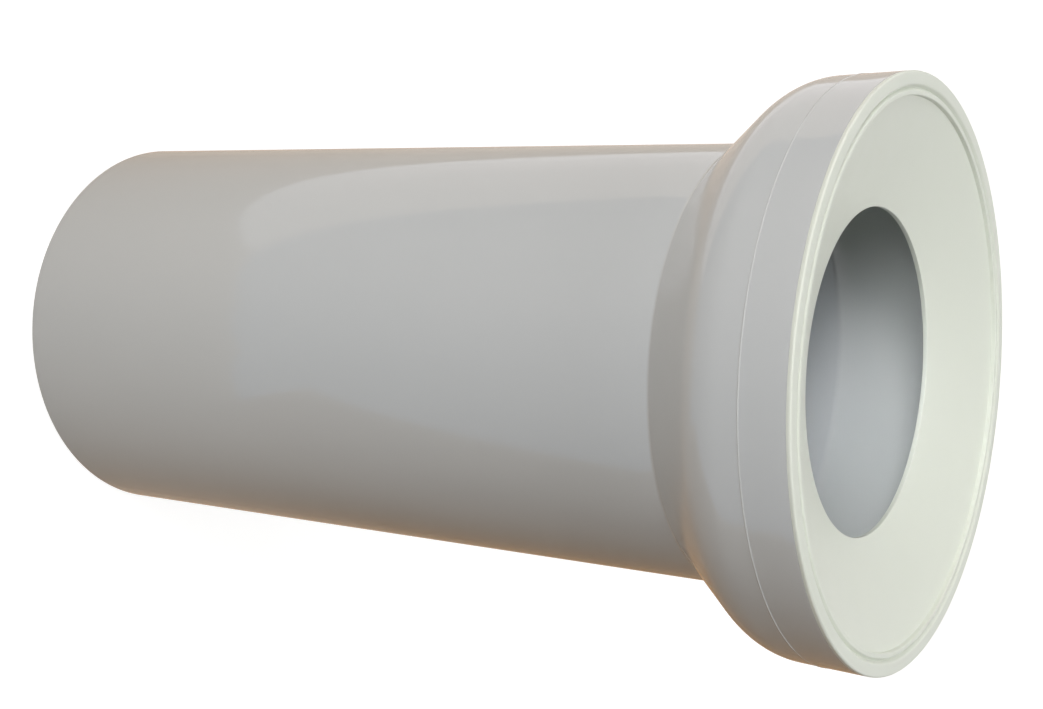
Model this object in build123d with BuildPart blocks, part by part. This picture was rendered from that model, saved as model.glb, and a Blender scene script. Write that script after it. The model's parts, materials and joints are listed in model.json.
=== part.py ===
"""Toilet pan connector: a straight 110 mm soil spigot with a flared socket and a soft funnel seal.

Lengths are in millimetres and angles in degrees. The axis is +Z, the origin is the centre of the plain
spigot end, and the connector stands on that end with its socket upwards. Each of the two mouldings is
round, so it is one closed half section, drawn with its radius along X, and revolved about Z.
"""
from build123d import *
from math import radians, sin, tan
import os

# Rigid body: the spigot
spigot_diameter = 110.0
spigot_length = 203.5
body_wall = 3.0
spigot_edge_radius = 1.0
bore_edge_radius = 0.6

# Rigid body: the flare and the socket
root_radius = 7.0
cone_angle = 47.0
shoulder_radius = 21.0
most_rounded_share = 0.85
socket_bore_diameter = 135.6
mouth_wall = 3.4
barrel_draft = 2.0

# Rigid body: the line where the two halves of the mould met
witness_below_mouth = 9.6
witness_height = 0.15
witness_width = 0.5

# Snap groove inside the socket, which holds the seal
groove_below_mouth = 6.2
groove_width = 3.2
groove_depth = 0.9
groove_corner_radius = 0.4

# Seal: the bead that closes the mouth
bead_height = 2.3
bead_width = 3.2
bead_straight_side = 0.3
bead_crest_radius = 0.7

# Seal: the crease inside the bead, and the narrow ring inside the crease
crease_width = 1.4
crease_depth = 1.3
crease_radius = 0.15
ring_below_bead = 0.25
ring_width = 2.3
ring_step = 0.45
ring_run = 0.4
ring_edge_radius = 0.5

# Seal: the funnel and the lip round its hole
lip_hole_diameter = 79.5
lip_below_mouth = 8.0
lip_land = 1.2
lip_edge_radius = 0.15
funnel_root_wall = 2.0

# Seal: the sleeve inside the socket
sleeve_length = 12.0
sleeve_wall = 2.4
sleeve_lead_in = 0.8
sleeve_root_radius = 0.9

# Room left between the two mouldings
sleeve_clearance = 0.1
sleeve_end_clearance = 0.8
snap_clearance = 0.15

# Radii that follow from the sizes above
spigot_radius = spigot_diameter / 2
bore_radius = spigot_radius - body_wall
socket_radius = socket_bore_diameter / 2
mouth_radius = socket_radius + mouth_wall
cone_slope = tan(radians(cone_angle))
draft_slope = tan(radians(barrel_draft))

# The two rounds of the flare shrink together where a narrow flare has too short a cone for them
round_reach = tan(radians(cone_angle / 2))
cone_slant = (socket_radius - bore_radius) / sin(radians(cone_angle))
wanted_share = (root_radius + shoulder_radius) * round_reach / cone_slant
round_scale = min(1, most_rounded_share / wanted_share)
outer_root = root_radius * round_scale
inner_root = outer_root + body_wall
outer_shoulder = shoulder_radius * round_scale
inner_shoulder = outer_shoulder - body_wall
root_height = spigot_length + outer_root * round_reach


def inner_cone_height(radius):
    """Height of the cone's inner face, one wall thickness in from its outer face."""
    return root_height + (radius - spigot_radius) / cone_slope + body_wall / sin(radians(cone_angle))


# The straight part of the socket's bore is as long as the seal's sleeve needs
straight_bore_height = inner_cone_height(socket_radius) + inner_shoulder * round_reach
mouth_height = straight_bore_height + sleeve_end_clearance + sleeve_length
overall_length = mouth_height + bead_height


def barrel_radius(height):
    """Outer radius of the barrel, which widens a little towards the mouth."""
    return mouth_radius - (mouth_height - height) * draft_slope


def rounded_outline(corners):
    """Closed outline through the given corners, each an X, a Z and the radius that rounds it."""
    points = [(x, z) for x, z, radius in corners]
    return FilletPolyline(*points, radius=[radius for x, z, radius in corners], close=True)


# Body: corners from the bore's edge, up the outside, over the mouth and down the inside
flare_rise = mouth_radius - spigot_radius - mouth_height * draft_slope + root_height * cone_slope
shoulder_height = flare_rise / (cone_slope - draft_slope)
witness_middle = mouth_height - witness_below_mouth
witness_low = witness_middle - witness_width / 2
witness_high = witness_middle + witness_width / 2
groove_top = mouth_height - groove_below_mouth + groove_width / 2
groove_bottom = groove_top - groove_width
groove_radius = socket_radius + groove_depth

body_outside = [
    (bore_radius, 0, bore_edge_radius),
    (spigot_radius, 0, spigot_edge_radius),
    (spigot_radius, root_height, outer_root),
    (barrel_radius(shoulder_height), shoulder_height, outer_shoulder),
    (barrel_radius(witness_low), witness_low, 0),
    (barrel_radius(witness_middle) + witness_height, witness_middle, 0),
    (barrel_radius(witness_high), witness_high, 0),
    (mouth_radius, mouth_height, 0),
]
body_inside = [
    (socket_radius, mouth_height, 0),
    (socket_radius, groove_top, 0),
    (groove_radius, groove_top, groove_corner_radius),
    (groove_radius, groove_bottom, groove_corner_radius),
    (socket_radius, groove_bottom, 0),
    (socket_radius, inner_cone_height(socket_radius), inner_shoulder),
    (bore_radius, inner_cone_height(bore_radius), inner_root),
]

with BuildPart() as connector_body:
    with BuildSketch(Plane.XZ):
        with BuildLine():
            rounded_outline(body_outside + body_inside)
        make_face()
    revolve(axis=Axis.Z)

connector_body.part.label = "connector_body"

# Seal: corners from the bead's foot, over the bead and the ring, down the funnel and back by the sleeve
bead_edge_radius = bead_height - bead_straight_side
crest_radius = mouth_radius - bead_width
crease_middle = crest_radius - crease_width / 2
ring_outer = crest_radius - crease_width
ring_inner = ring_outer - ring_width
ring_height = overall_length - ring_below_bead
funnel_outer = ring_inner - ring_run
funnel_height = ring_height - ring_step
lip_radius = lip_hole_diameter / 2
lip_height = mouth_height - lip_below_mouth
funnel_slope = (funnel_height - lip_height) / (funnel_outer - lip_radius)

sleeve_radius = socket_radius - sleeve_clearance
sleeve_inner = sleeve_radius - sleeve_wall
sleeve_foot = mouth_height - sleeve_length
funnel_back = funnel_height + (sleeve_inner - funnel_outer) * funnel_slope - funnel_root_wall
rib_radius = groove_radius - snap_clearance
rib_bottom = groove_bottom + snap_clearance
rib_top = groove_top - snap_clearance

seal_face = [
    (mouth_radius, mouth_height, 0),
    (mouth_radius, overall_length, bead_edge_radius),
    (crest_radius, overall_length, bead_crest_radius),
    (crease_middle, overall_length - crease_depth, crease_radius),
    (ring_outer, ring_height, ring_edge_radius),
    (ring_inner, ring_height, ring_edge_radius),
    (funnel_outer, funnel_height, 0),
    (lip_radius, lip_height, lip_edge_radius),
]
seal_back = [
    (lip_radius, lip_height - lip_land, lip_edge_radius),
    (sleeve_inner, funnel_back, sleeve_root_radius),
    (sleeve_inner, sleeve_foot, 0),
    (sleeve_radius - sleeve_lead_in, sleeve_foot, 0),
    (sleeve_radius, sleeve_foot + sleeve_lead_in, 0),
    (sleeve_radius, rib_bottom, 0),
    (rib_radius, rib_bottom, groove_corner_radius),
    (rib_radius, rib_top, groove_corner_radius),
    (sleeve_radius, rib_top, 0),
    (sleeve_radius, mouth_height, 0),
]

with BuildPart() as pan_seal:
    with BuildSketch(Plane.XZ):
        with BuildLine():
            rounded_outline(seal_face + seal_back)
        make_face()
    revolve(axis=Axis.Z)

pan_seal.part.label = "pan_seal"

os.makedirs("parts", exist_ok=True)
export_step(connector_body.part, "parts/connector_body.step")
export_step(pan_seal.part, "parts/pan_seal.step")
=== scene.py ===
"""Dress a straight toilet pan connector, and light it as in its studio picture.

The part is two round mouldings: a rigid light grey body, and the soft cream seal that closes its socket.
Each is turned on a lathe of Geometry Nodes from its half section. Sizes are in millimetres, and become
metres where a mesh, a lamp or a pattern is made. The part stands on its plain end, with its axis on Z.
"""
from __future__ import annotations

import json
import logging
import math
from dataclasses import dataclass
from enum import Enum
from typing import Any

import bpy
from mathutils import Matrix, Vector

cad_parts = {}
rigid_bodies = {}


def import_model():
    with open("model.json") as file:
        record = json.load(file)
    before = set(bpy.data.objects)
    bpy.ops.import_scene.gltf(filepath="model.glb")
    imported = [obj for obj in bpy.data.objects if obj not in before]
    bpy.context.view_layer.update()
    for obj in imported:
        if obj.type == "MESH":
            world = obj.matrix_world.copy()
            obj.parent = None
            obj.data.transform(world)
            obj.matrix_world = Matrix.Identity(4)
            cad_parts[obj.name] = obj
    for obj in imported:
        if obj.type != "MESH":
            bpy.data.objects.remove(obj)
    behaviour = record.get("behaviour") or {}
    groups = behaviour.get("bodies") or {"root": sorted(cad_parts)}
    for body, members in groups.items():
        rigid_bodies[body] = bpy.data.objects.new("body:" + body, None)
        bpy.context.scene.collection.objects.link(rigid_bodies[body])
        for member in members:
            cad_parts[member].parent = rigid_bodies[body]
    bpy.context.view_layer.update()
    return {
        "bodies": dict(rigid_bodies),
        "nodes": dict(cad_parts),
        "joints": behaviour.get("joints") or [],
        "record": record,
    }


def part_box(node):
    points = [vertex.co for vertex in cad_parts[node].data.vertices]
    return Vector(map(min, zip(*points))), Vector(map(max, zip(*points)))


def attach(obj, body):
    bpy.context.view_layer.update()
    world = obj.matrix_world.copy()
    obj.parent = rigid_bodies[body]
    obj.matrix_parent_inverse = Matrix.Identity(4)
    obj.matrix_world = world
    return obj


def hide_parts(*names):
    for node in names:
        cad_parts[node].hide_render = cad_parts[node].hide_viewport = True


LOG = logging.getLogger("pan_connector")
WHITE = "#FFFFFF"

# One millimetre in Blender's metres
MM = 0.001

# The round of a moulded corner that looks sharp, in millimetres
CRISP_ROUND = 0.06

# The attribute that carries each corner's round to the lathe
ROUNDING = "rounding"

# A Mix node has an output for each kind of value, and its colour is the third
MIXED_COLOUR = 2

# The sRGB curve: a straight toe up to the knee, and a power above it
SRGB_KNEE = 0.04045
SRGB_TOE = 12.92
SRGB_LIFT = 0.055
SRGB_POWER = 2.4

# Noise seldom leaves this part of its range from zero to one
NOISE_LOW = 0.3
NOISE_HIGH = 0.7


class Slot(Enum):
    """The record's material slots."""

    BODY = "body_plastic"
    SEAL = "seal_elastomer"


class Ray(Enum):
    """The kinds of ray that may meet a piece of the stage."""

    CAMERA = "visible_camera"
    DIFFUSE = "visible_diffuse"
    GLOSSY = "visible_glossy"
    TRANSMISSION = "visible_transmission"
    SCATTER = "visible_volume_scatter"
    SHADOW = "visible_shadow"


def linear(hex_colour: str) -> tuple[float, float, float, float]:
    """Turn an sRGB hex colour into linear light.

    Args:
        hex_colour: The colour as a hash sign and six digits.

    Returns:
        Red, green, blue and an alpha of one.
    """
    shares = [int(hex_colour[start : start + 2], 16) / 255 for start in (1, 3, 5)]
    red, green, blue = (
        share / SRGB_TOE if share <= SRGB_KNEE else ((share + SRGB_LIFT) / (1 + SRGB_LIFT)) ** SRGB_POWER
        for share in shares
    )
    return red, green, blue, 1.0


def add_node(
    tree: bpy.types.NodeTree, kind: str, feeds: dict[str, Any] | None = None, **settings: Any
) -> bpy.types.Node:
    """Add one node with its settings, and give its inputs their values or links.

    Args:
        tree: The node tree that gets the node.
        kind: The node's type.
        feeds: For each input's identifier, a plain value or the output that feeds it.
        **settings: Properties of the node itself, such as its operation.

    Returns:
        The new node.
    """
    node = tree.nodes.new(kind)
    for name, value in settings.items():
        setattr(node, name, value)
    sockets = {socket.identifier: socket for socket in node.inputs}
    for name, value in (feeds or {}).items():
        if isinstance(value, bpy.types.NodeSocket):
            tree.links.new(value, sockets[name])
        else:
            sockets[name].default_value = value
    return node


def link_object(name: str, data: bpy.types.ID | None) -> bpy.types.Object:
    """Make an object for this data at the origin, and put it in the scene."""
    made = bpy.data.objects.new(name, data)
    bpy.context.scene.collection.objects.link(made)
    return made


def new_material(name: str) -> bpy.types.Material:
    """Make a material with an empty node tree."""
    made = bpy.data.materials.new(name)
    made.use_nodes = True
    made.node_tree.nodes.clear()
    return made


@dataclass(frozen=True)
class MouldedFinish:
    """What both moulded skins have: a faint cloudiness, a slow ripple, a fine grain and uneven gloss.

    Lengths are in millimetres, and each depth is the whole height of its waves. The grain of a real mould
    is finer than this, and is drawn this coarse because it wouldn't show at its own size.
    """

    name: str
    colour: str
    cloud_colour: str
    cloud_size: float
    cloud_stretch: float
    ripple_size: float
    ripple_depth: float
    grain_size: float
    grain_depth: float
    gloss_patch_size: float
    smooth_roughness: float
    dull_roughness: float
    ior: float
    depth_of_light: float = 1.0
    light_in_depth: float = 0.0
    cloud_detail: float = 3.0
    cloud_fineness: float = 0.55
    gloss_detail: float = 4.0
    wave_detail: float = 1.0

    def build(self) -> bpy.types.Material:
        """Make the material.

        Returns:
            The finished material, in Object coordinates.
        """
        made = new_material(self.name)
        tree = made.node_tree
        place = add_node(tree, "ShaderNodeTexCoord").outputs["Object"]
        skin = add_node(
            tree,
            "ShaderNodeBsdfPrincipled",
            {
                "Base Color": self.clouded_colour(tree, place),
                "Roughness": self.uneven_roughness(tree, place),
                "Normal": self.rippled_normal(tree, place),
                "IOR": self.ior,
                "Subsurface Weight": self.light_in_depth,
                "Subsurface Radius": (1.0, 1.0, 1.0),
                "Subsurface Scale": self.depth_of_light * MM,
            },
        )
        add_node(tree, "ShaderNodeOutputMaterial", {"Surface": skin.outputs["BSDF"]})
        return made

    def clouded_colour(
        self, tree: bpy.types.NodeTree, place: bpy.types.NodeSocket
    ) -> bpy.types.NodeSocket:
        """Mix the two tones of the pigment in soft clouds, drawn out along the flow of the melt.

        Args:
            tree: The material's tree.
            place: Object coordinates.

        Returns:
            The colour.
        """
        flow = add_node(
            tree,
            "ShaderNodeMapping",
            {"Vector": place, "Scale": (1.0, 1.0, 1.0 / self.cloud_stretch)},
        )
        cloud = add_node(
            tree,
            "ShaderNodeTexNoise",
            {
                "Vector": flow.outputs["Vector"],
                "Scale": 1 / (self.cloud_size * MM),
                "Detail": self.cloud_detail,
                "Roughness": self.cloud_fineness,
            },
        )
        mixed = add_node(
            tree,
            "ShaderNodeMix",
            {
                "Factor_Float": cloud.outputs["Fac"],
                "A_Color": linear(self.colour),
                "B_Color": linear(self.cloud_colour),
            },
            data_type="RGBA",
        )
        return mixed.outputs[MIXED_COLOUR]

    def uneven_roughness(
        self, tree: bpy.types.NodeTree, place: bpy.types.NodeSocket
    ) -> bpy.types.NodeSocket:
        """Let the gloss wander between its smoothest and its dullest.

        Args:
            tree: The material's tree.
            place: Object coordinates.

        Returns:
            The roughness.
        """
        patches = add_node(
            tree,
            "ShaderNodeTexNoise",
            {"Vector": place, "Scale": 1 / (self.gloss_patch_size * MM), "Detail": self.gloss_detail},
        )
        spread = add_node(
            tree,
            "ShaderNodeMapRange",
            {
                "Value": patches.outputs["Fac"],
                "From Min": NOISE_LOW,
                "From Max": NOISE_HIGH,
                "To Min": self.smooth_roughness,
                "To Max": self.dull_roughness,
            },
        )
        return spread.outputs["Result"]

    def rippled_normal(
        self, tree: bpy.types.NodeTree, place: bpy.types.NodeSocket
    ) -> bpy.types.NodeSocket:
        """Lay the slow ripple of the cooling skin and the fine grain of the mould over each other.

        Args:
            tree: The material's tree.
            place: Object coordinates.

        Returns:
            The bumped normal.
        """
        rippled = self.bumped_normal(tree, place, self.ripple_size, self.ripple_depth, {})
        return self.bumped_normal(tree, place, self.grain_size, self.grain_depth, {"Normal": rippled})

    def bumped_normal(
        self,
        tree: bpy.types.NodeTree,
        place: bpy.types.NodeSocket,
        size: float,
        depth: float,
        below: dict[str, Any],
    ) -> bpy.types.NodeSocket:
        """Lay one kind of wave over the normal below it.

        Args:
            tree: The material's tree.
            place: Object coordinates.
            size: Length of a wave.
            depth: Height of a wave.
            below: The normal that the wave lies on, or an empty mapping for the bare surface.

        Returns:
            The bumped normal.
        """
        waves = add_node(
            tree,
            "ShaderNodeTexNoise",
            {"Vector": place, "Scale": 1 / (size * MM), "Detail": self.wave_detail},
        )
        feeds = {"Height": waves.outputs["Fac"], "Distance": depth * MM, "Strength": 1.0, **below}
        return add_node(tree, "ShaderNodeBump", feeds).outputs["Normal"]


@dataclass(frozen=True)
class MouldedPolypropylene(MouldedFinish):
    """Injection-moulded polypropylene, pigmented light grey.

    It is smooth and softly glossy, a little waxy, and so faintly rippled that a reflected edge wavers.
    """

    name: str = "moulded_polypropylene"
    colour: str = "#C9CBCB"
    cloud_colour: str = "#C5C8C8"
    cloud_size: float = 24.0
    cloud_stretch: float = 3.0
    ripple_size: float = 16.0
    ripple_depth: float = 0.010
    grain_size: float = 0.9
    grain_depth: float = 0.0006
    gloss_patch_size: float = 11.0
    smooth_roughness: float = 0.05
    dull_roughness: float = 0.10
    ior: float = 1.49


@dataclass(frozen=True)
class MouldedElastomer(MouldedFinish):
    """Moulded thermoplastic elastomer, a greenish cream.

    It is satin rather than glossy, and light goes a little way into it, which softens its shadows.
    """

    name: str = "moulded_elastomer"
    colour: str = "#E3E7DC"
    cloud_colour: str = "#E0E5DA"
    cloud_size: float = 22.0
    cloud_stretch: float = 1.0
    ripple_size: float = 14.0
    ripple_depth: float = 0.004
    grain_size: float = 0.7
    grain_depth: float = 0.0008
    gloss_patch_size: float = 8.0
    smooth_roughness: float = 0.34
    dull_roughness: float = 0.42
    ior: float = 1.49
    depth_of_light: float = 1.2
    light_in_depth: float = 0.25


@dataclass(frozen=True)
class FrameSizes:
    """Radii and heights of the part, in millimetres, as the frame has them."""

    spigot_radius: float
    bore_radius: float
    hole_radius: float
    mouth_radius: float
    mouth_height: float
    overall_height: float
    sleeve_foot: float

    @classmethod
    def read(cls, frame: dict[str, Any]) -> FrameSizes:
        """Take the sizes from the frame's boxes and its mounts.


        Returns:
            The sizes.
        """
        radii = {mount["name"]: mount["dims"].get("r_mm") for mount in frame["record"]["mounts"]}
        body_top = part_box("connector_body")[1] / MM
        seal_low, seal_top = (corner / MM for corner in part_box("pan_seal"))
        return cls(
            spigot_radius=radii["spigot"],
            bore_radius=radii["waterway"],
            hole_radius=radii["pan_inlet"],
            mouth_radius=body_top.x,
            mouth_height=body_top.z,
            overall_height=seal_top.z,
            sleeve_foot=seal_low.z,
        )


@dataclass(frozen=True)
class SocketSeat:
    """The seat of the seal in the socket, from which both mouldings take the sizes that must agree."""

    sizes: FrameSizes
    mouth_wall: float = 3.4
    lip_rise: float = 1.2
    groove_below_mouth: float = 6.2
    groove_width: float = 3.2
    groove_depth: float = 0.9
    groove_round: float = 0.4

    @property
    def rim_height(self) -> float:
        """Height of the line between body and bead."""
        return self.sizes.mouth_height + self.lip_rise

    @property
    def socket_radius(self) -> float:
        """Radius of the socket's straight bore."""
        return self.sizes.mouth_radius - self.mouth_wall

    @property
    def groove_radius(self) -> float:
        """Radius of the snap groove's floor."""
        return self.socket_radius + self.groove_depth

    @property
    def groove_top(self) -> float:
        """Height of the snap groove's upper side."""
        return self.sizes.mouth_height - self.groove_below_mouth + self.groove_width / 2

    @property
    def groove_bottom(self) -> float:
        """Height of the snap groove's lower side."""
        return self.groove_top - self.groove_width


@dataclass(frozen=True)
class Corner:
    """A corner of a half section: its radius from the axis, its height and the round that softens it."""

    radius: float
    height: float
    rounding: float = CRISP_ROUND


@dataclass
class Lathe:
    """Turns a closed half section round the Z axis, with every corner rounded as the section says."""

    steps_round_axis: int = 256
    steps_in_round: int = 9
    longest_run: float = 3.0
    pitch_radius: float = 20.0

    def __post_init__(self) -> None:
        """Make the node tree once, for every piece."""
        self.tree = self.build_tree()

    def build_tree(self) -> bpy.types.NodeTree:
        """Make the tree that rounds a section's corners, splits its long runs and sweeps it round.

        Returns:
            The tree.
        """
        tree = bpy.data.node_groups.new("lathe", "GeometryNodeTree")
        for name, kind in (
            ("Half Section", "NodeSocketGeometry"),
            ("Steps round the Axis", "NodeSocketInt"),
            ("Steps in a Round", "NodeSocketInt"),
            ("Longest Run", "NodeSocketFloat"),
            ("Pitch Radius", "NodeSocketFloat"),
            ("Finish", "NodeSocketMaterial"),
        ):
            tree.interface.new_socket(name, in_out="INPUT", socket_type=kind)
        moulding = tree.interface.new_socket(
            "Moulding", in_out="OUTPUT", socket_type="NodeSocketGeometry"
        )
        given = add_node(tree, "NodeGroupInput").outputs

        outline = add_node(tree, "GeometryNodeMeshToCurve", {"Mesh": given["Half Section"]})
        rounding = add_node(
            tree, "GeometryNodeInputNamedAttribute", {"Name": ROUNDING}, data_type="FLOAT"
        )
        rounded = add_node(
            tree,
            "GeometryNodeFilletCurve",
            {
                "Curve": outline.outputs["Curve"],
                "Count": given["Steps in a Round"],
                "Radius": rounding.outputs["Attribute"],
                "Limit Radius": False,
            },
            mode="POLY",
        )
        split = add_node(
            tree,
            "GeometryNodeSubdivideCurve",
            {"Curve": rounded.outputs["Curve"], "Cuts": self.cuts_for(tree, given["Longest Run"])},
        )
        section = add_node(
            tree,
            "GeometryNodeSetPosition",
            {"Geometry": split.outputs["Curve"], "Position": self.as_profile(tree, given["Pitch Radius"])},
        )
        axis_ring = add_node(
            tree,
            "GeometryNodeCurvePrimitiveCircle",
            {"Resolution": given["Steps round the Axis"], "Radius": given["Pitch Radius"]},
            mode="RADIUS",
        )
        swept = add_node(
            tree,
            "GeometryNodeCurveToMesh",
            {"Curve": axis_ring.outputs["Curve"], "Profile Curve": section.outputs["Geometry"]},
        )
        smooth = add_node(
            tree, "GeometryNodeSetShadeSmooth", {"Geometry": swept.outputs["Mesh"], "Shade Smooth": True}
        )
        plain = add_node(
            tree,
            "GeometryNodeRemoveAttribute",
            {"Geometry": smooth.outputs["Geometry"], "Name": ROUNDING},
        )
        solid = add_node(tree, "GeometryNodeRealizeInstances", {"Geometry": plain.outputs["Geometry"]})
        dressed = add_node(
            tree,
            "GeometryNodeSetMaterial",
            {"Geometry": solid.outputs["Geometry"], "Material": given["Finish"]},
        )
        add_node(tree, "NodeGroupOutput", {moulding.identifier: dressed.outputs["Geometry"]})
        return tree

    def cuts_for(
        self, tree: bpy.types.NodeTree, longest_run: bpy.types.NodeSocket
    ) -> bpy.types.NodeSocket:
        """Count the cuts that keep each stretch of the outline as short as the longest run.

        Args:
            tree: The lathe's tree.
            longest_run: The longest stretch that stays whole.

        Returns:
            The number of cuts after each point.
        """
        here = add_node(tree, "GeometryNodeInputPosition").outputs["Position"]
        following = add_node(tree, "GeometryNodeOffsetPointInCurve", {"Offset": 1})
        there = add_node(
            tree,
            "GeometryNodeFieldAtIndex",
            {"Value": here, "Index": following.outputs["Point Index"]},
            data_type="FLOAT_VECTOR",
        )
        stretch = add_node(
            tree,
            "ShaderNodeVectorMath",
            {"Vector": here, "Vector_001": there.outputs["Value"]},
            operation="DISTANCE",
        )
        cuts = add_node(
            tree,
            "ShaderNodeMath",
            {"Value": stretch.outputs["Value"], "Value_001": longest_run},
            operation="DIVIDE",
        )
        return cuts.outputs["Value"]

    def as_profile(
        self, tree: bpy.types.NodeTree, pitch_radius: bpy.types.NodeSocket
    ) -> bpy.types.NodeSocket:
        """Lay the section down so that a sweep round the pitch circle puts it back at its own radius.

        Args:
            tree: The lathe's tree.
            pitch_radius: Radius of the circle that the section is swept along.

        Returns:
            The positions of the profile.
        """
        standing = add_node(
            tree,
            "ShaderNodeSeparateXYZ",
            {"Vector": add_node(tree, "GeometryNodeInputPosition").outputs["Position"]},
        )
        outwards = add_node(
            tree,
            "ShaderNodeMath",
            {"Value": standing.outputs["X"], "Value_001": pitch_radius},
            operation="SUBTRACT",
        )
        downwards = add_node(
            tree,
            "ShaderNodeMath",
            {"Value": standing.outputs["Z"], "Value_001": -1.0},
            operation="MULTIPLY",
        )
        lying = add_node(
            tree,
            "ShaderNodeCombineXYZ",
            {"X": outwards.outputs["Value"], "Y": downwards.outputs["Value"]},
        )
        return lying.outputs["Vector"]

    def turn(self, name: str, corners: list[Corner], finish: bpy.types.Material) -> bpy.types.Object:
        """Turn one piece.

        Args:
            name: The piece's name.
            corners: Its half section, once round.
            finish: Its material.

        Returns:
            The piece as a plain mesh at the origin.
        """
        section = bpy.data.meshes.new(name)
        points = [(corner.radius * MM, 0.0, corner.height * MM) for corner in corners]
        edges = [(index, (index + 1) % len(points)) for index in range(len(points))]
        section.from_pydata(points, edges, [])
        rounding = section.attributes.new(ROUNDING, "FLOAT", "POINT")
        rounding.data.foreach_set("value", [corner.rounding * MM for corner in corners])
        piece = link_object(name, section)
        modifier = piece.modifiers.new("lathe", "NODES")
        modifier.node_group = self.tree
        wanted = {
            "Steps round the Axis": self.steps_round_axis,
            "Steps in a Round": self.steps_in_round,
            "Longest Run": self.longest_run * MM,
            "Pitch Radius": self.pitch_radius * MM,
            "Finish": finish,
        }
        for socket in self.tree.interface.items_tree:
            if socket.name in wanted:
                modifier[socket.identifier] = wanted[socket.name]
        depsgraph = bpy.context.evaluated_depsgraph_get()
        turned = bpy.data.meshes.new_from_object(piece.evaluated_get(depsgraph))
        piece.modifiers.clear()
        piece.data = turned
        turned.name = name
        return piece


@dataclass
class BodyMoulding:
    """The rigid body: a plain tube that flares through a cone and a round shoulder into the socket."""

    sizes: FrameSizes
    seat: SocketSeat
    spigot_length: float = 203.5
    root_radius: float = 1.8
    inner_root_radius: float = 2.5
    cone_angle: float = 40.2
    cone_wall: float = 3.6
    shoulder_radius: float = 16.5
    barrel_draft: float = 2.0
    outer_end_round: float = 1.0
    inner_end_round: float = 0.6
    mouth_round: float = 0.1
    witness_below_mouth: float = 9.6
    witness_height: float = 0.12
    witness_width: float = 0.5

    def barrel_radius(self, height: float) -> float:
        """Outer radius of the drafted barrel at this height."""
        below_mouth = self.sizes.mouth_height - height
        return self.sizes.mouth_radius - below_mouth * math.tan(math.radians(self.barrel_draft))

    def outer_corners(self) -> list[Corner]:
        """Corners up the outside, from the plain end to the mouth.

        Returns:
            The corners in order.
        """
        s = self.sizes
        cone_slope = math.tan(math.radians(self.cone_angle))
        draft_slope = math.tan(math.radians(self.barrel_draft))
        root_height = self.root_height()
        flare_rise = self.barrel_radius(root_height) - s.spigot_radius
        shoulder_height = root_height + flare_rise / (cone_slope - draft_slope)
        witness_middle = s.mouth_height - self.witness_below_mouth
        witness_low = witness_middle - self.witness_width / 2
        witness_high = witness_middle + self.witness_width / 2
        return [
            Corner(s.spigot_radius, 0, self.outer_end_round),
            Corner(s.spigot_radius, root_height, self.root_radius),
            Corner(self.barrel_radius(shoulder_height), shoulder_height, self.shoulder_radius),
            Corner(self.barrel_radius(witness_low), witness_low),
            Corner(self.barrel_radius(witness_middle) + self.witness_height, witness_middle),
            Corner(self.barrel_radius(witness_high), witness_high),
            Corner(s.mouth_radius, self.seat.rim_height, self.mouth_round),
        ]

    def inner_corners(self) -> list[Corner]:
        """Corners down the inside, from the mouth past the snap groove to the plain end.

        Returns:
            The corners in order.
        """
        s = self.sizes
        seat = self.seat
        inner_shoulder = self.shoulder_radius - (s.spigot_radius - s.bore_radius)
        return [
            Corner(seat.socket_radius, seat.rim_height, self.mouth_round),
            Corner(seat.socket_radius, seat.groove_top),
            Corner(seat.groove_radius, seat.groove_top, seat.groove_round),
            Corner(seat.groove_radius, seat.groove_bottom, seat.groove_round),
            Corner(seat.socket_radius, seat.groove_bottom),
            Corner(seat.socket_radius, self.inner_cone_height(seat.socket_radius), inner_shoulder),
            Corner(s.bore_radius, self.inner_cone_height(s.bore_radius), self.inner_root_radius),
            Corner(s.bore_radius, 0, self.inner_end_round),
        ]

    def root_height(self) -> float:
        """Height of the sharp corner where the tube's side would meet the cone."""
        return self.spigot_length + self.root_radius * math.tan(math.radians(self.cone_angle / 2))

    def inner_cone_height(self, radius: float) -> float:
        """Height of the cone's inner face at this radius."""
        s = self.sizes
        angle = math.radians(self.cone_angle)
        above_root = (radius - s.spigot_radius) / math.tan(angle) + self.cone_wall / math.sin(angle)
        return self.root_height() + above_root

    def build(self, lathe: Lathe) -> bpy.types.Object:
        """Turn the body, and let it stand for its CAD node.

        Args:
            lathe: The lathe that turns it.

        Returns:
            The piece.
        """
        corners = self.outer_corners() + self.inner_corners()
        piece = lathe.turn("body_moulding", corners, MouldedPolypropylene().build())
        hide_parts("connector_body")
        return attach(piece, "root")


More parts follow.
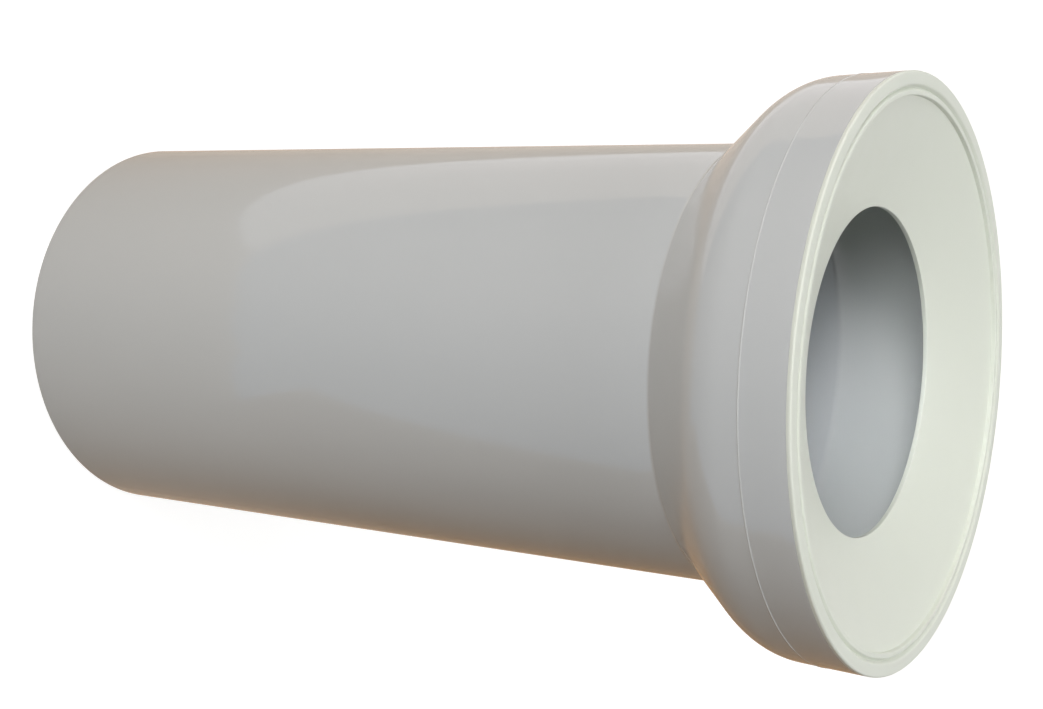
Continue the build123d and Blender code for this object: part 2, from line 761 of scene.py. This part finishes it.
@dataclass
class SealMoulding:
    """The soft seal: a bead over the mouth, a crease, a ring, a funnel with its lip, and a sleeve."""

    sizes: FrameSizes
    seat: SocketSeat
    bead_width: float = 3.2
    bead_edge_round: float = 0.5
    bead_crest_round: float = 0.7
    bead_foot_round: float = 0.1
    crease_width: float = 1.3
    crease_depth: float = 1.2
    crease_round: float = 0.15
    ring_below_bead: float = 0.25
    ring_width: float = 1.1
    ring_step: float = 1.1
    ring_run: float = 0.1
    ring_edge_round: float = 0.3
    ring_foot_round: float = 0.08
    lip_below_mouth: float = 8.0
    lip_land: float = 1.2
    lip_round: float = 0.15
    funnel_root_wall: float = 2.0
    sleeve_wall: float = 2.4
    sleeve_lead_in: float = 0.8
    sleeve_root_round: float = 0.9
    sleeve_clearance: float = 0.1
    snap_clearance: float = 0.15

    def face_corners(self) -> list[Corner]:
        """Corners of the face, from the bead's foot to the lip of the hole.

        Returns:
            The corners in order.
        """
        s = self.sizes
        crest_radius = s.mouth_radius - self.bead_width
        crease_radius = crest_radius - self.crease_width / 2
        ring_outer = crest_radius - self.crease_width
        ring_inner = ring_outer - self.ring_width
        ring_height = s.overall_height - self.ring_below_bead
        return [
            Corner(s.mouth_radius, self.seat.rim_height, self.bead_foot_round),
            Corner(s.mouth_radius, s.overall_height, self.bead_edge_round),
            Corner(crest_radius, s.overall_height, self.bead_crest_round),
            Corner(crease_radius, s.overall_height - self.crease_depth, self.crease_round),
            Corner(ring_outer, ring_height, self.ring_edge_round),
            Corner(ring_inner, ring_height, self.ring_edge_round),
            Corner(ring_inner - self.ring_run, ring_height - self.ring_step, self.ring_foot_round),
            Corner(s.hole_radius, s.mouth_height - self.lip_below_mouth, self.lip_round),
        ]

    def back_corners(self) -> list[Corner]:
        """Corners of the back, from the lip to the sleeve, down it and up past the snap rib.

        Returns:
            The corners in order.
        """
        s = self.sizes
        funnel_edge = self.face_corners()[-2]
        lip_height = s.mouth_height - self.lip_below_mouth
        funnel_slope = (funnel_edge.height - lip_height) / (funnel_edge.radius - s.hole_radius)
        sleeve_radius = self.seat.socket_radius - self.sleeve_clearance
        sleeve_inner = sleeve_radius - self.sleeve_wall
        root = funnel_edge.height + (sleeve_inner - funnel_edge.radius) * funnel_slope
        rib_radius = self.seat.groove_radius - self.snap_clearance
        rib_top = self.seat.groove_top - self.snap_clearance
        rib_bottom = self.seat.groove_bottom + self.snap_clearance
        return [
            Corner(s.hole_radius, lip_height - self.lip_land, self.lip_round),
            Corner(sleeve_inner, root - self.funnel_root_wall, self.sleeve_root_round),
            Corner(sleeve_inner, s.sleeve_foot),
            Corner(sleeve_radius - self.sleeve_lead_in, s.sleeve_foot),
            Corner(sleeve_radius, s.sleeve_foot + self.sleeve_lead_in),
            Corner(sleeve_radius, rib_bottom),
            Corner(rib_radius, rib_bottom, self.seat.groove_round),
            Corner(rib_radius, rib_top, self.seat.groove_round),
            Corner(sleeve_radius, rib_top),
            Corner(sleeve_radius, self.seat.rim_height),
        ]

    def build(self, lathe: Lathe) -> bpy.types.Object:
        """Turn the seal, and let it stand for its CAD node.

        Args:
            lathe: The lathe that turns it.

        Returns:
            The piece.
        """
        corners = self.face_corners() + self.back_corners()
        piece = lathe.turn("seal_moulding", corners, MouldedElastomer().build())
        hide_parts("pan_seal")
        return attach(piece, "root")


@dataclass(frozen=True)
class Softbox:
    """A soft round lamp that neither the camera nor the gloss shows.

    It stands at this distance from the spot that it aims at, and its level is the brightness that it gives
    a white surface which faces it there. Lengths are in millimetres and angles in degrees.
    """

    name: str
    azimuth: float
    elevation: float
    size: float
    level: float
    colour: str = WHITE
    distance: float = 1600.0
    aim: tuple[float, float, float] = (0.0, 0.0, 135.0)
    spread: float = 180.0

    def build(self) -> bpy.types.Object:
        """Make the lamp and turn it to the part.

        Returns:
            The lamp.
        """
        lamp = bpy.data.lights.new(self.name, "AREA")
        lamp.shape = "DISK"
        lamp.size = self.size * MM
        lamp.color = linear(self.colour)[:3]
        lamp.spread = math.radians(self.spread)
        lamp.energy = self.level * (math.pi * self.distance * MM) ** 2
        across = math.radians(self.azimuth)
        up = math.radians(self.elevation)
        direction = Vector(
            (math.cos(up) * math.cos(across), math.cos(up) * math.sin(across), math.sin(up))
        )
        made = link_object(self.name, lamp)
        made.location = (Vector(self.aim) + direction * self.distance) * MM
        made.rotation_mode = "QUATERNION"
        made.rotation_quaternion = direction.to_track_quat("Z", "Y")
        made.visible_camera = False
        made.visible_glossy = False
        return made


@dataclass(frozen=True)
class Sky:
    """The light of the room from all round: white on the key lamp's side, and warmer opposite."""

    lamp_side: str = WHITE
    far_side: str = "#FFF2E4"
    strength: float = 0.08

    def build(self) -> bpy.types.World:
        """Make the world, which the camera and every mirror see as plain white.

        Returns:
            The world.
        """
        world = bpy.data.worlds.new("studio_sky")
        world.use_nodes = True
        tree = world.node_tree
        tree.nodes.clear()
        direction = add_node(
            tree,
            "ShaderNodeSeparateXYZ",
            {"Vector": add_node(tree, "ShaderNodeTexCoord").outputs["Generated"]},
        )
        across = add_node(
            tree,
            "ShaderNodeMapRange",
            {"Value": direction.outputs["X"], "From Min": -1.0, "From Max": 1.0},
        )
        room = add_node(
            tree,
            "ShaderNodeMix",
            {
                "Factor_Float": across.outputs["Result"],
                "A_Color": linear(self.lamp_side),
                "B_Color": linear(self.far_side),
            },
            data_type="RGBA",
        )
        lit = add_node(
            tree, "ShaderNodeBackground", {"Color": room.outputs[MIXED_COLOUR], "Strength": self.strength}
        )
        white = add_node(tree, "ShaderNodeBackground", {"Color": linear(WHITE), "Strength": 1.0})
        seen = add_node(
            tree,
            "ShaderNodeMixShader",
            {
                "Fac": seen_directly(tree),
                "Shader": lit.outputs["Background"],
                "Shader_001": white.outputs["Background"],
            },
        )
        add_node(tree, "ShaderNodeOutputWorld", {"Surface": seen.outputs["Shader"]})
        bpy.context.scene.world = world
        return world


def seen_directly(tree: bpy.types.NodeTree) -> bpy.types.NodeSocket:
    """Tell the rays that show a surface from those that only light it.

    Args:
        tree: The tree of the floor or the world.

    Returns:
        One for a camera, mirror or glass ray, and zero for the rest.
    """
    rays = add_node(tree, "ShaderNodeLightPath").outputs
    mirrored = add_node(
        tree,
        "ShaderNodeMath",
        {"Value": rays["Is Camera Ray"], "Value_001": rays["Is Glossy Ray"]},
        operation="MAXIMUM",
    )
    through_glass = add_node(
        tree,
        "ShaderNodeMath",
        {"Value": mirrored.outputs["Value"], "Value_001": rays["Is Transmission Ray"]},
        operation="MAXIMUM",
    )
    return through_glass.outputs["Value"]


@dataclass(frozen=True)
class Floor:
    """The plain pale floor: white to the eye, with the part's soft shadow, and warm grey to the light.

    Its half width and the two ends of its fade are in millimetres.
    """

    half_width: float = 20000.0
    seen_white: float = 0.84
    fade: tuple[float, float] = (600.0, 3000.0)
    shadow_share: str = "#A0A09E"
    bounce: str = "#A8A29C"

    def build(self) -> bpy.types.Object:
        """Make the floor at height zero.

        Returns:
            The floor.
        """
        edge = self.half_width * MM
        corners = [(-edge, -edge, 0), (edge, -edge, 0), (edge, edge, 0), (-edge, edge, 0)]
        mesh = bpy.data.meshes.new("floor")
        mesh.from_pydata(corners, [], [tuple(range(len(corners)))])
        made = link_object("floor", mesh)
        paper = new_material("white_paper")
        tree = paper.node_tree
        shadowed = add_node(tree, "ShaderNodeBsdfDiffuse", {"Color": linear(self.shadow_share)})
        glow = add_node(tree, "ShaderNodeEmission", {"Strength": self.brightness(tree)})
        shown = add_node(
            tree,
            "ShaderNodeAddShader",
            {"Shader": shadowed.outputs["BSDF"], "Shader_001": glow.outputs["Emission"]},
        )
        bounced = add_node(tree, "ShaderNodeBsdfDiffuse", {"Color": linear(self.bounce)})
        mixed = add_node(
            tree,
            "ShaderNodeMixShader",
            {
                "Fac": seen_directly(tree),
                "Shader": bounced.outputs["BSDF"],
                "Shader_001": shown.outputs["Shader"],
            },
        )
        add_node(tree, "ShaderNodeOutputMaterial", {"Surface": mixed.outputs["Shader"]})
        mesh.materials.append(paper)
        return made

    def brightness(self, tree: bpy.types.NodeTree) -> bpy.types.NodeSocket:
        """Let the paper rise to full white away from the part, so that it meets the sky unseen.

        Args:
            tree: The paper's tree.

        Returns:
            How bright the paper looks.
        """
        away = add_node(
            tree,
            "ShaderNodeVectorMath",
            {"Vector": add_node(tree, "ShaderNodeTexCoord").outputs["Object"]},
            operation="LENGTH",
        )
        rise = add_node(
            tree,
            "ShaderNodeMapRange",
            {
                "Value": away.outputs["Value"],
                "From Min": self.fade[0] * MM,
                "From Max": self.fade[1] * MM,
                "To Min": self.seen_white,
                "To Max": 1.0,
            },
        )
        return rise.outputs["Result"]


class FloorMark(Enum):
    """Spots on the floor, as X and Y in millimetres, at which the cards have their corners and meet."""

    FRONT_LEFT = (-83, -112)
    FRONT_MIDDLE_LEFT = (-33, -136)
    FRONT_MIDDLE_RIGHT = (24, -141)
    FRONT_RIGHT = (79, -115)
    BEYOND_FRONT_RIGHT = (79, -158)
    SIDE_LEFT = (-101, -71)
    SIDE_RIGHT = (400, 75)
    FAR_LEFT = (-2400, 486)
    FAR_RIGHT = (2400, -762)
    FAR_RIGHT_BEHIND = (2400, 1250)
    BACK_MIDDLE_LEFT = (-1500, 2400)
    BACK_CORNER_LEFT = (-2400, 2400)
    BACK_CORNER_RIGHT = (2400, 2400)
    FRONT_CORNER_LEFT = (-2400, -2400)
    FRONT_CORNER_RIGHT = (2400, -2400)


@dataclass(frozen=True)
class PaintedReflectionCard:
    """A glowing card on the floor that only the part's gloss shows: a painted reflection, with painted
    shade from one side to the other.

    Its span, over which it turns from its left colour to its right one, and its height are in millimetres.
    Its strength is the brightness of its white.
    """

    name: str
    outline: tuple[FloorMark, ...]
    left: str
    right: str | None = None
    strength: float = 1.0
    span: tuple[float, float] = (-150.0, 150.0)
    height: float = 0.2

    def build(self) -> bpy.types.Object:
        """Make the card.

        Returns:
            The card.
        """
        mesh = bpy.data.meshes.new(self.name)
        marks = [mark.value for mark in self.outline]
        corners = [(x * MM, y * MM, self.height * MM) for x, y in marks]
        mesh.from_pydata(corners, [], [tuple(range(len(corners)))])
        card = new_material(self.name)
        tree = card.node_tree
        colour = self.shaded(tree, self.right) if self.right else linear(self.left)
        glow = add_node(tree, "ShaderNodeEmission", {"Color": colour, "Strength": self.strength})
        add_node(tree, "ShaderNodeOutputMaterial", {"Surface": glow.outputs["Emission"]})
        mesh.materials.append(card)
        made = link_object(self.name, mesh)
        # Only gloss sees the card, so its glow is a painted reflection and lights nothing.
        for ray in Ray:
            setattr(made, ray.value, ray is Ray.GLOSSY)
        return made

    def shaded(self, tree: bpy.types.NodeTree, right: str) -> bpy.types.NodeSocket:
        """Blend the left colour into the right one across the span, as painted shade.

        Args:
            tree: The card's tree.
            right: The colour at the right end.

        Returns:
            The blended colour.
        """
        place = add_node(
            tree,
            "ShaderNodeSeparateXYZ",
            {"Vector": add_node(tree, "ShaderNodeTexCoord").outputs["Object"]},
        )
        across = add_node(
            tree,
            "ShaderNodeMapRange",
            {
                "Value": place.outputs["X"],
                "From Min": self.span[0] * MM,
                "From Max": self.span[1] * MM,
            },
        )
        blend = add_node(
            tree,
            "ShaderNodeMix",
            {
                "Factor_Float": across.outputs["Result"],
                "A_Color": linear(self.left),
                "B_Color": linear(right),
            },
            data_type="RGBA",
        )
        return blend.outputs[MIXED_COLOUR]


@dataclass
class Studio:
    """Floor, sky, lamps and the glowing cards that paint the part's reflections.

    The last two lamps stand inside the part, and light what its hole shows.
    """

    lamps: tuple[Softbox, ...] = (
        Softbox("key_softbox", azimuth=243, elevation=26, size=500, level=0.36),
        Softbox("second_softbox", azimuth=262, elevation=19, size=500, level=0.22),
        Softbox("top_softbox", azimuth=270, elevation=84, size=1000, level=0.46),
        Softbox("rim_lamp", azimuth=185, elevation=8, size=500, level=0.14, colour="#FFF0DC"),
        Softbox("back_softbox", azimuth=76, elevation=2, size=1200, level=0.55, colour="#FFF9F2"),
        Softbox(
            "foot_glow",
            azimuth=270,
            elevation=-90,
            size=90,
            level=0.25,
            distance=130,
            colour="#F0F6FF",
        ),
        Softbox(
            "socket_glow",
            azimuth=259,
            elevation=7,
            size=16,
            level=0.036,
            distance=92,
            aim=(14, 60, 214),
            spread=64,
            colour="#F4F8FF",
        ),
    )
    # Painted reflections of the room round the part, which only its gloss sees.
    cards: tuple[PaintedReflectionCard, ...] = (
        PaintedReflectionCard(
            "table_reflection_card",
            (
                FloorMark.FRONT_RIGHT,
                FloorMark.SIDE_RIGHT,
                FloorMark.FAR_RIGHT_BEHIND,
                FloorMark.BACK_CORNER_RIGHT,
                FloorMark.BACK_MIDDLE_LEFT,
                FloorMark.SIDE_LEFT,
                FloorMark.FRONT_LEFT,
                FloorMark.FRONT_MIDDLE_LEFT,
                FloorMark.FRONT_MIDDLE_RIGHT,
            ),
            # A table's painted reflection: lit at its left, and in painted shade at its right, where the
            # part's shadow falls.
            "#E2D3C5",
            "#B18E69",
        ),
        PaintedReflectionCard(
            "cream_reflection_card",
            (
                FloorMark.FRONT_LEFT,
                FloorMark.SIDE_LEFT,
                FloorMark.BACK_MIDDLE_LEFT,
                FloorMark.BACK_CORNER_LEFT,
                FloorMark.FAR_LEFT,
            ),
            "#FFFBFB",
            strength=1.35,
        ),
        PaintedReflectionCard(
            "blue_reflection_card",
            (
                FloorMark.FRONT_LEFT,
                FloorMark.FAR_LEFT,
                FloorMark.FRONT_CORNER_LEFT,
                FloorMark.FRONT_CORNER_RIGHT,
                FloorMark.FAR_RIGHT,
                FloorMark.BEYOND_FRONT_RIGHT,
                FloorMark.FRONT_RIGHT,
                FloorMark.FRONT_MIDDLE_RIGHT,
                FloorMark.FRONT_MIDDLE_LEFT,
            ),
            "#D7E2F6",
        ),
        PaintedReflectionCard(
            "green_reflection_card",
            (
                FloorMark.FRONT_RIGHT,
                FloorMark.BEYOND_FRONT_RIGHT,
                FloorMark.FAR_RIGHT,
                FloorMark.FAR_RIGHT_BEHIND,
                FloorMark.SIDE_RIGHT,
            ),
            "#A2794B",
        ),
    )

    def build(self) -> None:
        """Set up the whole studio."""
        Sky().build()
        Floor().build()
        for lamp in self.lamps:
            lamp.build()
            LOG.info("lamp %s", lamp.name)
        for card in self.cards:
            card.build()
            LOG.info("card %s", card.name)


@dataclass(frozen=True)
class PhotoCamera:
    """The camera: it looks down on the standing part, rolled so that the socket is on the right.

    Its place, its aim and its lens are in millimetres, and its roll is in degrees.
    """

    place: tuple[float, float, float] = (0.0, -367.832, 373.073)
    aim: tuple[float, float, float] = (1.628, 0.0, 134.953)
    roll: float = 94.065
    sensor_width: float = 36.0
    focal_length: float = 55.158
    nearest: float = 10.0
    farthest: float = 20000.0

    def build(self) -> bpy.types.Object:
        """Make the camera and hand the scene to it.

        Returns:
            The camera.
        """
        data = bpy.data.cameras.new("photo_camera")
        data.sensor_fit = "HORIZONTAL"
        data.sensor_width = self.sensor_width
        data.lens = self.focal_length
        data.clip_start = self.nearest * MM
        data.clip_end = self.farthest * MM
        made = link_object("photo_camera", data)
        line_of_sight = Vector(self.aim) - Vector(self.place)
        level = line_of_sight.to_track_quat("-Z", "Y").to_matrix()
        rolled = level @ Matrix.Rotation(math.radians(self.roll), 3, "Z")
        made.matrix_world = Matrix.Translation(Vector(self.place) * MM) @ rolled.to_4x4()
        bpy.context.scene.camera = made
        return made


def main() -> None:
    """Build the part and its studio in order."""
    logging.basicConfig(level=logging.INFO, format="%(name)s: %(message)s")
    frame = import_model()
    bpy.context.scene.view_settings.view_transform = "Standard"
    PhotoCamera().build()
    sizes = FrameSizes.read(frame)
    seat = SocketSeat(sizes)
    lathe = Lathe()
    for moulding in (BodyMoulding(sizes, seat), SealMoulding(sizes, seat)):
        piece = moulding.build(lathe)
        LOG.info("piece %s has %d faces", piece.name, len(piece.data.polygons))
    Studio().build()


if __name__ == "__main__":
    main()
